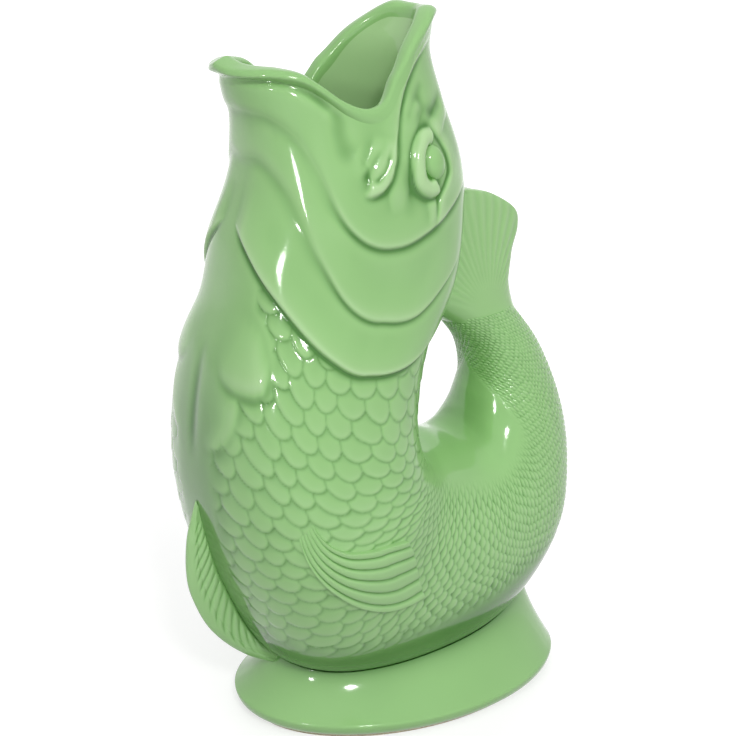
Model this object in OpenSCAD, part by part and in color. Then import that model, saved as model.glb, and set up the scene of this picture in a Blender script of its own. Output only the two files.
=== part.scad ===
// Gurgle jug in the shape of a standing fish, slip cast in glazed earthenware.
// The fish looks towards -X, its left side is -Y and the table is z = 0.
// The middle of the plinth is the origin.

/* [Jug] */
// Height of the figure from the table to the tip of the upper jaw
jug_height = 250; // [210:1:300]
// Length from the breast to the back of the tail
jug_length = 152; // [135:1:175]
// Width of the belly from side to side
belly_width = 106; // [94:1:124]
// Thickness of the cast clay wall
wall = 5; // [3:0.5:6]
// Gap that the slip fills between two luted pieces
seam = 0.25; // [0.2:0.05:0.35]

/* [Plinth] */
// Length of the plinth along the fish
plinth_length = 129.5; // [118:0.5:145]
// Width of the plinth
plinth_width = 90.5; // [84:0.5:104]
// Height of the belly's lowest point above the table
belly_lift = 14; // [12:0.5:22]
// Height of the plinth's rounded lower edge at its widest line
plinth_edge_height = 7; // [6:0.5:9]
// How far the underside is drawn in from the widest line
plinth_edge_inset = 5; // [4:0.5:7]
// Height of the dry foot ring
foot_ring_height = 1.5; // [1:0.1:2]
// Width of the dry foot ring
foot_ring_width = 7; // [5:0.5:10]

/* [Lip] */
// Height of the rolled lip
lip_height = 5; // [4:0.25:7]
// How far the lip rolls outwards from the wall
lip_roll = 2; // [1:0.25:3]

/* [Head] */
// Depth of the bed that the plates of the head lie in
plate_bed = 1.2; // [0.8:0.1:1.8]
// Thickness of a plate of the head at its thick rear edge
plate_thickness = 1.6; // [1.2:0.1:2.4]
// Thickness of a plate or fin at its thin edge
thin_edge = 0.5; // [0.4:0.1:0.8]
// Height of the jaw flap above the head
jaw_flap_height = 2; // [1.2:0.1:2.8]
// Width of the eyeball where it meets the head
eye_width = 10; // [8:0.5:12]
// How far the eyeball stands out
eye_height = 3; // [2:0.25:4]
// Gap between the eyeball and the eyelid
eyelid_gap = 0.8; // [0.5:0.1:1.5]
// Width of the rolled eyelid
eyelid_width = 4.5; // [3.5:0.25:6]
// How far the eyelid stands out
eyelid_height = 2.6; // [2:0.2:3.6]

/* [Fins] */
// Height of the pectoral fins above the breast
pectoral_height = 1.6; // [1:0.1:2.4]
// Height of the ventral fins above the belly
ventral_height = 2; // [1.2:0.1:3]
// Thickness of the anal fin where it leaves the belly
anal_root_thickness = 7; // [5:0.5:9]
// Thickness of the anal fin at its free edge
anal_edge_thickness = 3.4; // [2.5:0.1:4.5]
// Thickness of the tail fin at its free edge
tail_fin_thickness = 7; // [6:0.5:9]

/* [Hidden] */

glaze_green = [0.50, 0.74, 0.45];
bare_clay = [0.90, 0.86, 0.78];

// Points round each cross-section of the fish, and rings along its parts
ring_points = 40;
head_rings = 13;
belly_rings = 26;
tail_rings = 13;
plinth_points = 48;

// The fish is a hollow skin carried along a path that drops from the mouth to the belly and
// rises again through the tail. Each row is a cross-section: the x and z of its outer edge,
// the x and z of its inner edge, its half width, and how square it is (2 is an ellipse).
station_shares = [
    [-0.442, 0.942, 0.057, 0.981, 0.480, 2.05],
    [-0.419, 0.903, 0.049, 0.941, 0.510, 2.2],
    [-0.395, 0.843, 0.074, 0.877, 0.569, 2.3],
    [-0.402, 0.775, 0.113, 0.797, 0.661, 2.3],
    [-0.441, 0.695, 0.118, 0.716, 0.698, 2.4],
    [-0.467, 0.606, 0.086, 0.627, 0.736, 2.5],
    [-0.513, 0.517, 0.007, 0.534, 0.811, 2.5],
    [-0.533, 0.415, -0.033, 0.441, 0.906, 2.5],
    [-0.526, 0.305, -0.026, 0.377, 0.981, 2.5],
    [-0.480, 0.186, 0, 0.356, 1, 2.4],
    [-0.362, 0.051, 0.039, 0.352, 0.925, 2.2],
    [-0.151, 0, 0.079, 0.352, 0.849, 2.1],
    [0.112, 0.008, 0.132, 0.347, 0.755, 2.1],
    [0.296, 0.059, 0.164, 0.360, 0.642, 2.1],
    [0.428, 0.157, 0.178, 0.381, 0.547, 2.1],
    [0.467, 0.267, 0.184, 0.407, 0.453, 2],
    [0.447, 0.373, 0.191, 0.441, 0.377, 2],
    [0.382, 0.475, 0.171, 0.487, 0.321, 2],
    [0.303, 0.547, 0.112, 0.534, 0.245, 2]];

// Edges across the head, as shares of the path, one for every 15 degrees from throat to nape
edge_step = 15;
rim_shares = [-0.008, 0, 0.004, 0.010, 0.027, 0.074, 0.089, 0.054, 0.012, -0.015,
    -0.028, -0.025, -0.022];
cheek_edge_shares = [0.078, 0.080, 0.086, 0.112, 0.175, 0.211, 0.228, 0.221, 0.206, 0.192, 0.183];
gill_root_shares = [0.136, 0.134, 0.154, 0.189, 0.230, 0.268, 0.289, 0.292, 0.275, 0.256, 0.239];
gill_edge_shares = [0.197, 0.220, 0.247, 0.271, 0.294, 0.314, 0.331, 0.334, 0.328, 0.311, 0.289];

// Places along the path where the cast sections are luted
neck_share = 0.353;
tail_root_share = 0.75;
tail_tip_share = 1;

// Side edges of the jaw flap: place along the path, then the angles of its front and rear edge
jaw_flap_shares = [[0.042, 121, 128], [0.068, 110.5, 116], [0.096, 99, 106], [0.118, 88.5, 98],
    [0.130, 79, 94.5], [0.146, 75, 91], [0.165, 75.5, 88], [0.177, 78, 84]];
// The pectoral fin in the same way
pectoral_shares = [[0.232, 8, 11], [0.256, 8, 20], [0.281, 8, 33], [0.303, 8, 42],
    [0.322, 10, 46], [0.337, 17, 45], [0.344, 25, 40]];
// Upper and lower edge of the ventral fin from its root to its tip: place and angle of each
ventral_shares = [[0.433, 60, 0.436, 57], [0.452, 69, 0.475, 60], [0.468, 77, 0.506, 66.5],
    [0.479, 86, 0.542, 77.5], [0.496, 95.5, 0.574, 86.5]];
// Middle of the eye: place along the path and angle
eye_place_share = 0.157;
eye_angle = 111.6;

// Free edge of the anal fin, as shares of the length and of the figure's height, and its root
anal_edge_shares = [[-0.535, 0.305], [-0.556, 0.258], [-0.560, 0.205], [-0.546, 0.160],
    [-0.505, 0.104], [-0.428, 0.055]];
anal_root_shares = [0.455, 0.548];

// Free edge of the tail fin in the same way, with the path places of its seat on the nape
tail_edge_shares = [[0.303, 0.553], [0.298, 0.585], [0.306, 0.625], [0.325, 0.662],
    [0.316, 0.690], [0.250, 0.717], [0.190, 0.728]];
tail_seat_shares = [0.316, 0.308, 0.284, 0.256, 0.232, 0.219, 0.213];

// The plinth meets the belly in an oval: middle and reach along the path, reach in angle
crease_middle_share = 0.652;
crease_reach_share = 0.090;
crease_angle = 43;

figure_height = jug_height - belly_lift;
stations = [for (row = station_shares) [
    row[0] * jug_length,
    belly_lift + row[1] * figure_height,
    row[2] * jug_length,
    belly_lift + row[3] * figure_height,
    row[4] * belly_width / 2,
    row[5]]];

// Small steps for the slopes of the skin
probe_share = 0.004;
probe_angle = 2;

// A smooth curve through the rows of a table, at place t counted in rows
function curve(rows, t) =
    let (
        last = len(rows) - 1,
        i = max(0, min(last - 1, floor(t))),
        f = t - i,
        b = rows[i],
        c = rows[i + 1],
        a = i > 0 ? rows[i - 1] : 2 * b - c,
        d = i < last - 1 ? rows[i + 2] : 2 * c - b
    )
    b + f * ((c - a) + f * ((2 * a - 5 * b + 4 * c - d) + f * (3 * (b - c) + d - a))) / 2;

function spread(rows, u) = curve(rows, u * (len(rows) - 1));
function edge_place(table, angle) = curve(table, abs(angle) / edge_step);
function signed_power(x, e) = sign(x) * pow(abs(x), e);
function lerp(a, b, f) = a + (b - a) * f;
function unit(v) = v / norm(v);

// Point of the skin at a share of the path; angle 0 is the belly's edge, 90 the left side
function skin(place, angle) =
    let (
        row = spread(stations, place),
        along = signed_power(cos(angle), 2 / row[5]),
        across = signed_power(sin(angle), 2 / row[5])
    )
    [
        (row[0] + row[2]) / 2 + (row[0] - row[2]) / 2 * along,
        -row[4] * across,
        (row[1] + row[3]) / 2 + (row[1] - row[3]) / 2 * along
    ];
function skin_run(place, angle) =
    skin(place + probe_share, angle) - skin(place - probe_share, angle);
function skin_turn(place, angle) =
    skin(place, angle + probe_angle) - skin(place, angle - probe_angle);
function skin_normal(place, angle) = unit(cross(skin_run(place, angle), skin_turn(place, angle)));
function raised(place, angle, height) = skin(place, angle) + height * skin_normal(place, angle);

// Place along the path a distance below a given place, measured on the skin
function below(place, angle, distance) =
    place + distance * 2 * probe_share / norm(skin_run(place, angle));

// A closed solid over a loop of rings, each ring a closed loop of points
module looped_rings(rings) {
    count = len(rings);
    size = len(rings[0]);
    polyhedron(
        points = [for (ring = rings) each ring],
        faces = [for (i = [0:count - 1], j = [0:size - 1], half = [0, 1])
            let (
                here = i * size,
                next = ((i + 1) % count) * size,
                k = (j + 1) % size
            )
            half == 0 ? [here + j, next + k, here + k] : [here + j, next + j, next + k]]);
}

// A closed solid over a row of rings, with a fan from a middle point at each end
module capped_rings(rings, first_middle, last_middle) {
    count = len(rings);
    size = len(rings[0]);
    first = count * size;
    polyhedron(
        points = concat([for (ring = rings) each ring], [first_middle, last_middle]),
        faces = concat(
            [for (i = [0:count - 2], j = [0:size - 1], half = [0, 1])
                let (
                    here = i * size,
                    next = here + size,
                    k = (j + 1) % size
                )
                half == 0 ? [here + j, next + k, here + k] : [here + j, next + j, next + k]],
            [for (j = [0:size - 1]) [first, j, (j + 1) % size]],
            [for (j = [0:size - 1]) [first + 1, first - size + (j + 1) % size, first - size + j]]));
}

// A closed slab between two grids of points of the same size, the upper one outside
module slab(upper, lower) {
    rows = len(upper);
    size = len(upper[0]);
    rim = concat(
        [for (j = [0:size - 2]) j],
        [for (i = [0:rows - 2]) i * size + size - 1],
        [for (j = [size - 1:-1:1]) (rows - 1) * size + j],
        [for (i = [rows - 1:-1:1]) i * size]);
    under = rows * size;
    polyhedron(
        points = concat([for (row = upper) each row], [for (row = lower) each row]),
        faces = concat(
            [for (i = [0:rows - 2], j = [0:size - 2], half = [0, 1])
                let (a = i * size + j, b = a + 1, c = a + size + 1, d = a + size)
                half == 0 ? [a, c, b] : [a, d, c]],
            [for (i = [0:rows - 2], j = [0:size - 2], half = [0, 1])
                let (a = under + i * size + j, b = a + 1, c = a + size + 1, d = a + size)
                half == 0 ? [a, b, c] : [a, c, d]],
            [for (k = [0:len(rim) - 1], half = [0, 1])
                let (a = rim[k], b = rim[(k + 1) % len(rim)])
                half == 0 ? [a, b, under + b] : [a, under + b, under + a]]));
}

// One ring of the skin at a height, moved along the path by a shift
function skin_ring(place, height, shift) =
    [for (j = [0:ring_points - 1])
        let (angle = j * 360 / ring_points)
        raised(place, angle, height) + shift * unit(skin_run(place, angle))];

// A hollow stretch of the fish between two places, drawn in by half a seam at both ends
module hollow_stretch(start, finish, rings) {
    outer = [for (i = [0:rings])
        skin_ring(lerp(start, finish, i / rings), 0, i == 0 ? seam / 2 : i == rings ? -seam / 2 : 0)];
    inner = [for (i = [rings:-1:0])
        skin_ring(lerp(start, finish, i / rings), -wall, i == 0 ? seam / 2 : i == rings ? -seam / 2 : 0)];
    looped_rings(concat(outer, inner));
}

module belly() {
    color(glaze_green) hollow_stretch(neck_share, tail_root_share, belly_rings);
}

// The tail is closed at its tip, so air trapped in it makes the gurgle
module tail_handle() {
    inner_tip_share = tail_tip_share - wall / norm(skin_run(tail_tip_share, 90)) * 2 * probe_share;
    outer = [for (i = [0:tail_rings])
        skin_ring(lerp(tail_root_share, tail_tip_share, i / tail_rings), 0,
            i == 0 ? seam / 2 : i == tail_rings ? -seam / 2 : 0)];
    inner = [for (i = [0:tail_rings])
        skin_ring(lerp(tail_root_share, inner_tip_share, i / tail_rings), -wall,
            i == 0 ? seam / 2 : 0)];
    color(glaze_green)
        capped_rings(
            concat([for (i = [tail_rings:-1:0]) inner[i]], outer),
            (skin(inner_tip_share, 0) + skin(inner_tip_share, 180)) / 2,
            (outer[tail_rings][0] + outer[tail_rings][ring_points / 2]) / 2);
}

// The mouth's edge under the rolled lip
function rim_place(angle) = edge_place(rim_shares, angle);
function mouth_place(angle) = below(rim_place(angle), angle, lip_height);
function turn_of(j) = let (angle = j * 360 / ring_points) angle > 180 ? angle - 360 : angle;

// The head's skin lies low, in a bed for its plates, and comes up to the belly at the neck
module head() {
    bed_end_share = neck_share - (neck_share - max(gill_edge_shares)) / 2;
    heights = [for (i = [0:head_rings]) i == head_rings ? 0 : -plate_bed];
    outer = [for (i = [0:head_rings])
        [for (j = [0:ring_points - 1])
            let (
                angle = turn_of(j),
                end_share = i == head_rings ? neck_share : bed_end_share,
                steps = head_rings - 1,
                place = i == head_rings
                    ? neck_share
                    : lerp(mouth_place(angle), bed_end_share, i / steps),
                shift = i == head_rings ? -seam / 2 : 0
            )
            raised(place, angle, heights[i]) + shift * unit(skin_run(place, angle))]];
    inner = [for (i = [head_rings:-1:0])
        [for (j = [0:ring_points - 1])
            let (
                angle = turn_of(j),
                place = lerp(mouth_place(angle), neck_share, i / head_rings),
                shift = i == head_rings ? -seam / 2 : 0
            )
            raised(place, angle, -wall) + shift * unit(skin_run(place, angle))]];
    color(glaze_green) looped_rings(concat(outer, inner));
}

// The rolled lip is a bead on the mouth's edge: its section as shares of roll and height
module lip_rim() {
    // Each point: share of the wall's thickness inwards, share of the roll outwards, share of the height
    section_shares = [[0, 0, 0], [0, 0.7, 0.2], [0, 1, 0.5], [0, 0.8, 0.85], [0.3, 0, 1],
        [0.75, 0, 0.85], [1, 0, 0.4], [1, 0, 0]];
    rings = [for (j = [0:ring_points - 1])
        let (
            angle = turn_of(j),
            place = mouth_place(angle),
            out = skin_normal(place, angle),
            up = -unit(skin_run(place, angle)),
            foot = skin(place, angle) + seam * up
        )
        [for (s = section_shares)
            foot
            + out * (s[1] * lip_roll - plate_bed - s[0] * (wall - plate_bed))
            + up * s[2] * lip_height]];
    color(glaze_green) looped_rings(rings);
}

// A plate of the head from a front edge to a rear edge, thin in front and thick behind
module head_plate(front_shares, rear_shares) {
    rows = 8;
    columns = 20;
    first_angle = 2;
    last_angle = (len(front_shares) - 1) * edge_step - first_angle;
    angles = [for (j = [0:columns]) lerp(first_angle, last_angle, j / columns)];
    function place(angle, u) =
        let (
            front = edge_place(front_shares, angle),
            rear = edge_place(rear_shares, angle)
        )
        lerp(below(front, angle, seam), rear, u);
    bed = seam - plate_bed;
    upper = [for (i = [0:rows])
        [for (a = angles)
            let (u = i / rows, full = lerp(thin_edge, plate_thickness, u))
            raised(place(a, u), a, bed + (i == rows ? full - thin_edge : full))]];
    lower = [for (i = [0:rows]) [for (a = angles) raised(place(a, i / rows), a, bed)]];
    slab(upper, lower);
}

module cheek_plate() {
    color(glaze_green) head_plate(cheek_edge_shares, gill_root_shares);
}
module cheek_plate_left() {
    cheek_plate();
}
module cheek_plate_right() {
    mirror([0, 1, 0]) cheek_plate();
}

module gill_cover() {
    color(glaze_green) head_plate(gill_root_shares, gill_edge_shares);
}
module gill_cover_left() {
    gill_cover();
}
module gill_cover_right() {
    mirror([0, 1, 0]) gill_cover();
}

// A rounded lobe on the skin, from a table of places and the angles of its two sides
module lobe(side_shares, height, bed) {
    rows = 14;
    columns = 8;
    function across(row, v) = lerp(row[1], row[2], v);
    function crown(u, v) = sqrt(max(0, (1 - pow(2 * v - 1, 2)) * (1 - pow(2 * u - 1, 8))));
    upper = [for (i = [0:rows])
        let (u = i / rows, row = spread(side_shares, u))
        [for (j = [0:columns])
            let (v = j / columns)
            raised(row[0], across(row, v), bed + thin_edge + (height - thin_edge) * crown(u, v))]];
    lower = [for (i = [0:rows])
        let (row = spread(side_shares, i / rows))
        [for (j = [0:columns]) raised(row[0], across(row, j / columns), bed)]];
    slab(upper, lower);
}

module jaw_flap() {
    // The flap starts just under the lip
    under_lip = [for (row = jaw_flap_shares)
        [max(row[0], below(mouth_place(row[1]), row[1], 2 * seam)), row[1], row[2]]];
    color(glaze_green) lobe(under_lip, jaw_flap_height, seam - plate_bed);
}
module jaw_flap_left() {
    jaw_flap();
}
module jaw_flap_right() {
    mirror([0, 1, 0]) jaw_flap();
}

module pectoral_fin() {
    color(glaze_green) lobe(pectoral_shares, pectoral_height + plate_bed, seam - plate_bed);
}
module pectoral_fin_left() {
    pectoral_fin();
}
module pectoral_fin_right() {
    mirror([0, 1, 0]) pectoral_fin();
}

// The ventral fin is a fan pressed on the belly's side, thick at its stepped end
module ventral_fin() {
    rows = 12;
    columns = 8;
    grid = [for (i = [0:rows])
        let (row = spread(ventral_shares, i / rows))
        [for (j = [0:columns])
            let (v = j / columns)
            [lerp(row[0], row[2], v), lerp(row[1], row[3], v)]]];
    upper = [for (i = [0:rows])
        [for (j = [0:columns])
            let (side = sin(180 * j / columns), u = i / rows)
            raised(grid[i][j][0], grid[i][j][1],
                seam + thin_edge + (ventral_height - thin_edge) * side * min(1, 2 * u))]];
    lower = [for (row = grid) [for (q = row) raised(q[0], q[1], seam)]];
    color(glaze_green) slab(upper, lower);
}
module ventral_fin_left() {
    ventral_fin();
}
module ventral_fin_right() {
    mirror([0, 1, 0]) ventral_fin();
}

// A place on the head a distance from the eye's middle, in a direction measured from upwards
eye_run = norm(skin_run(eye_place_share, eye_angle)) / (2 * probe_share);
eye_turn = norm(skin_turn(eye_place_share, eye_angle)) / (2 * probe_angle);
function round_the_eye(distance, direction) = [
    eye_place_share - distance * cos(direction) / eye_run,
    eye_angle + distance * sin(direction) / eye_turn];

module eye() {
    rings = 5;
    points = 16;
    bed = seam - plate_bed;
    function dome(share) = thin_edge + (eye_height + plate_bed - thin_edge) * sqrt(1 - share * share);
    upper = [for (i = [1:rings])
        [for (j = [0:points - 1])
            let (
                share = sin(90 * i / rings),
                spot = round_the_eye(share * eye_width / 2, -j * 360 / points)
            )
            raised(spot[0], spot[1], bed + dome(share))]];
    lower = [for (j = [0:points - 1])
        let (spot = round_the_eye(eye_width / 2, -j * 360 / points))
        raised(spot[0], spot[1], bed)];
    color(glaze_green)
        capped_rings(
            concat(upper, [lower]),
            raised(eye_place_share, eye_angle, bed + dome(0)),
            raised(eye_place_share, eye_angle, bed));
}
module eye_left() {
    eye();
}
module eye_right() {
    mirror([0, 1, 0]) eye();
}

// The eyelid is a roll that goes round the eye from its rear top, over the front, to below it
module eyelid() {
    first_direction = 60;
    last_direction = -200;
    rows = 16;
    columns = 6;
    bed = seam - plate_bed;
    inner_radius = eye_width / 2 + eyelid_gap;
    grid = [for (i = [0:rows])
        [for (j = [0:columns])
            round_the_eye(inner_radius + eyelid_width * j / columns,
                lerp(first_direction, last_direction, i / rows))]];
    upper = [for (i = [0:rows])
        [for (j = [0:columns])
            let (
                across = sin(180 * j / columns),
                taper = pow(sin(180 * i / rows), 0.4),
                rise = eyelid_height + plate_bed - thin_edge
            )
            raised(grid[i][j][0], grid[i][j][1], bed + thin_edge + rise * across * taper)]];
    lower = [for (row = grid) [for (q = row) raised(q[0], q[1], bed)]];
    color(glaze_green) slab(lower, upper);
}
module eyelid_left() {
    eyelid();
}
module eyelid_right() {
    mirror([0, 1, 0]) eyelid();
}

// A place in the middle plane from shares of the length and of the figure's height
function middle_point(shares) =
    [shares[0] * jug_length, 0, belly_lift + shares[1] * figure_height];

// One section of a fin in the middle plane: a rounded blade from its seat to its free edge
function blade(seat, edge, seat_half, edge_half, points) =
    [for (j = [0:points - 1])
        let (
            turn = j * 360 / points,
            along = (1 - cos(turn)) / 2,
            side = signed_power(sin(turn), 0.6),
            half = lerp(seat_half, edge_half, along)
        )
        lerp(seat, edge, along) + [0, -half * side, 0]];

// The anal fin stands on the front edge of the belly, above the plinth
module anal_fin() {
    rows = 12;
    points = 12;
    rings = [for (i = [0:rows])
        let (u = i / rows)
        blade(
            raised(lerp(anal_root_shares[0], anal_root_shares[1], u), 0, seam),
            middle_point(spread(anal_edge_shares, u)),
            anal_root_thickness / 2, anal_edge_thickness / 2, points)];
    color(glaze_green)
        capped_rings(rings,
            (rings[0][0] + rings[0][points / 2]) / 2,
            (rings[rows][0] + rings[rows][points / 2]) / 2);
}

// The tail fin opens like a fan above the tip of the tail and leans on the nape
module tail_fin() {
    rows = 14;
    tip_half = spread(stations, tail_tip_share)[4];
    tip_inner = skin(tail_tip_share, 180);
    tip_outer = skin(tail_tip_share, 0);
    tip_up = unit(skin_run(tail_tip_share, 90)) * seam / 2;
    function half_at(u) = lerp(tail_fin_thickness / 2, tip_half, pow(1 - u, 4));
    root = blade(tip_inner + tip_up, tip_outer + tip_up, tip_half, tip_half, ring_points);
    fan = [for (i = [1:rows])
        let (u = i / rows)
        blade(
            raised(spread(tail_seat_shares, u), 180, seam),
            middle_point(spread(tail_edge_shares, u)),
            half_at(u), half_at(u), ring_points)];
    rings = concat([root], fan);
    color(glaze_green)
        capped_rings(rings,
            (rings[0][0] + rings[0][ring_points / 2]) / 2,
            (rings[rows][0] + rings[rows][ring_points / 2]) / 2);
}

// The oval of the plinth at a share of its half length and half width
function oval(turn, inset) =
    [(plinth_length / 2 - inset) * cos(turn), (plinth_width / 2 - inset) * sin(turn)];

// Where the plinth's top meets the belly; reach 1 is the crease and 0 the middle
function seat_point(turn, reach) =
    raised(
        crease_middle_share + crease_reach_share * reach * cos(turn),
        -crease_angle * reach * sin(turn),
        seam);

module plinth() {
    seat_rings = 5;
    flank_rings = 8;
    flare = 1.5;
    underside = foot_ring_height + seam;
    turns = [for (j = [0:plinth_points - 1]) j * 360 / plinth_points];
    seat = [for (i = [1:seat_rings]) [for (turn = turns) seat_point(turn, i / seat_rings)]];
    flank = [for (i = [1:flank_rings])
        [for (turn = turns)
            let (
                u = i / flank_rings,
                top = seat_point(turn, 1),
                low = oval(turn, 0),
                out = pow(u, flare),
                flat = lerp([top[0], top[1]], low, out)
            )
            [flat[0], flat[1], lerp(top[2], plinth_edge_height, u)]]];
    edge = [for (drop = [30, 60, 90])
        [for (turn = turns)
            let (flat = oval(turn, plinth_edge_inset * (1 - cos(drop))))
            [flat[0], flat[1], lerp(plinth_edge_height, underside, sin(drop))]]];
    color(glaze_green)
        capped_rings(
            concat(seat, flank, edge),
            seat_point(0, 0),
            [0, 0, underside]);
}

// The dry ring of bare clay that the jug stands on
module foot_ring() {
    turns = [for (j = [0:plinth_points - 1]) j * 360 / plinth_points];
    color(bare_clay)
        linear_extrude(foot_ring_height)
            difference() {
                polygon([for (turn = turns) oval(turn, plinth_edge_inset)]);
                polygon([for (turn = turns) oval(turn, plinth_edge_inset + foot_ring_width)]);
            }
}

foot_ring();
plinth();
belly();
head();
tail_handle();
lip_rim();
tail_fin();
anal_fin();
gill_cover_left();
gill_cover_right();
cheek_plate_left();
cheek_plate_right();
jaw_flap_left();
jaw_flap_right();
eye_left();
eye_right();
eyelid_left();
eyelid_right();
pectoral_fin_left();
pectoral_fin_right();
ventral_fin_left();
ventral_fin_right();
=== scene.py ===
import bpy
import numpy as np
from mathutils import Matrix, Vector


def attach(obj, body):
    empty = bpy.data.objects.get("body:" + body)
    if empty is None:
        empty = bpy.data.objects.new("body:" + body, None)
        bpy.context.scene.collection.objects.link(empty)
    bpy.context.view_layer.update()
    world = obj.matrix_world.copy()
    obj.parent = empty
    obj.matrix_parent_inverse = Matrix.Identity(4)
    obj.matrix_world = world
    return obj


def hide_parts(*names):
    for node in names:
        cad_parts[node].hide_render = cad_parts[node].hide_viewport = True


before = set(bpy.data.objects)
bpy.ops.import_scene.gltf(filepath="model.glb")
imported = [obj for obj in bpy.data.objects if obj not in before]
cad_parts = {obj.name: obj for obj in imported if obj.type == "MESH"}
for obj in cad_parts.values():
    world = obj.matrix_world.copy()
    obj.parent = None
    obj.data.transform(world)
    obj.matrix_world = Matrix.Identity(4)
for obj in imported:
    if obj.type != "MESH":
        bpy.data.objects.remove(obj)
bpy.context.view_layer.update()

# %% [markdown]
# ## The fish's skin
# The jug is slip cast: liquid clay sets against a plaster mould, so the whole fish is one thin
# skin. Such a shape could be sculpted, or lofted by hand from curves. Here it is a formula,
# because the CAD solids came from the same one: nineteen sections stand along the fish's bent
# path, and a smooth curve runs through each of their sizes. Every later piece is drawn on this
# skin with two numbers, the station along the path and the angle round it.

# %% The sections along the path
JUG_HEIGHT, JUG_LENGTH, BELLY_WIDTH, BELLY_LIFT, WALL = 250.0, 152.0, 106.0, 14.0, 5.0
FIGURE = JUG_HEIGHT - BELLY_LIFT

# Each row: outer edge along and up, inner edge along and up, half width, squareness of the section
SECTIONS = np.array([
    [-0.442, 0.942, 0.057, 0.981, 0.480, 2.05], [-0.419, 0.903, 0.049, 0.941, 0.510, 2.2],
    [-0.395, 0.843, 0.074, 0.877, 0.569, 2.3], [-0.402, 0.775, 0.113, 0.797, 0.661, 2.3],
    [-0.441, 0.695, 0.118, 0.716, 0.698, 2.4], [-0.467, 0.606, 0.086, 0.627, 0.736, 2.5],
    [-0.513, 0.517, 0.007, 0.534, 0.811, 2.5], [-0.533, 0.415, -0.033, 0.441, 0.906, 2.5],
    [-0.526, 0.305, -0.026, 0.377, 0.981, 2.5], [-0.480, 0.186, 0.000, 0.356, 1.000, 2.4],
    [-0.362, 0.051, 0.039, 0.352, 0.925, 2.2], [-0.151, 0.000, 0.079, 0.352, 0.849, 2.1],
    [0.112, 0.008, 0.132, 0.347, 0.755, 2.1], [0.296, 0.059, 0.164, 0.360, 0.642, 2.1],
    [0.428, 0.157, 0.178, 0.381, 0.547, 2.1], [0.467, 0.267, 0.184, 0.407, 0.453, 2.0],
    [0.447, 0.373, 0.191, 0.441, 0.377, 2.0], [0.382, 0.475, 0.171, 0.487, 0.321, 2.0],
    [0.303, 0.547, 0.112, 0.534, 0.245, 2.0]])
SECTIONS = SECTIONS * [JUG_LENGTH, FIGURE, JUG_LENGTH, FIGURE, BELLY_WIDTH / 2, 1]
SECTIONS[:, [1, 3]] += BELLY_LIFT
LAST = len(SECTIONS) - 1
print(LAST + 1, "sections; sizes are in mm until a mesh is made")


# %% A smooth curve through the rows of a table
def curve(rows, t):
    """Catmull-Rom curve: it passes every row, and its slope at a row is half the step from the
    row before to the row after. t counts rows, and may be an array."""
    rows = np.asarray(rows, float)
    if rows.ndim == 1:
        return curve(rows[:, None], t)[..., 0]
    t = np.asarray(t, float)
    ends = np.vstack([2 * rows[0] - rows[1], rows, 2 * rows[-1] - rows[-2]])
    i = np.clip(np.floor(t).astype(int), 0, len(rows) - 2)
    f = (t - i)[..., None]
    a, b, c, d = (ends[i + k] for k in range(4))
    return b + f * ((c - a) + f * ((2 * a - 5 * b + 4 * c - d) + f * (3 * (b - c) + d - a))) / 2


def unit(v):
    """A vector divided by its own length."""
    return v / np.linalg.norm(v, axis=-1, keepdims=True)


# %% Points and directions of the skin
STATION_STEP, DEGREE_STEP = 0.07, 2.0


def skin(station, angle):
    """A superellipse round the middle of the section: the cosine and the sine of the angle, each
    to the power 2 over the squareness. Angle 0 is the belly's edge, 90 the left side, 180 the back."""
    station, angle = np.broadcast_arrays(np.asarray(station, float), np.asarray(angle, float))
    sizes = np.moveaxis(curve(SECTIONS, station), -1, 0)
    outer_along, outer_up, inner_along, inner_up, half_width, squareness = sizes
    cos, sin = np.cos(np.radians(angle)), np.sin(np.radians(angle))
    cos = np.sign(cos) * np.abs(cos) ** (2 / squareness)
    sin = np.sign(sin) * np.abs(sin) ** (2 / squareness)
    along = (outer_along + inner_along) / 2 + (outer_along - inner_along) / 2 * cos
    upward = (outer_up + inner_up) / 2 + (outer_up - inner_up) / 2 * cos
    return np.stack([along, -half_width * sin, upward], -1)


def skin_run(station, angle):
    """Millimetres of skin per station, by a small step to each side."""
    ahead, back = skin(station + STATION_STEP, angle), skin(station - STATION_STEP, angle)
    return (ahead - back) / (2 * STATION_STEP)


def skin_turn(station, angle):
    """Millimetres of skin per degree, by a small step to each side."""
    ahead, back = skin(station, angle + DEGREE_STEP), skin(station, angle - DEGREE_STEP)
    return (ahead - back) / (2 * DEGREE_STEP)


def skin_normal(station, angle):
    """The outward direction: run crossed with turn."""
    return unit(np.cross(skin_run(station, angle), skin_turn(station, angle)))


def raised(station, angle, height):
    """A point that stands a height above the skin."""
    return skin(station, angle) + np.asarray(height)[..., None] * skin_normal(station, angle)


def below(station, angle, distance):
    """The station a distance further down the fish, measured on the skin."""
    return station + distance / np.linalg.norm(skin_run(station, angle), axis=-1)


# %% [markdown]
# ## Making closed pieces
# Every piece is a pile of rings, as a pot is built from coils: points run round each ring, and
# faces join a ring to the next. The pile is closed by joining its last ring to its first, which
# gives a hollow wall, or by a point at each end. Blender's modifiers could thicken a sheet too,
# but rings keep both sides of the wall exact. Where two pieces of the skin meet, both mark that
# ring as a sharp edge, so the glaze's shading is not bent round the hidden joint.

# %% Faces between rings
def ring_faces(rings, points, wrap):
    """Four-sided faces between neighbouring rings, and between the last and the first if wrap."""
    i = np.arange(rings if wrap else rings - 1)[:, None]
    j = np.arange(points)[None, :]
    here, there, k = i * points, ((i + 1) % rings) * points, (j + 1) % points
    return np.stack([here + j, here + k, there + k, there + j], -1).reshape(-1, 4)


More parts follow.
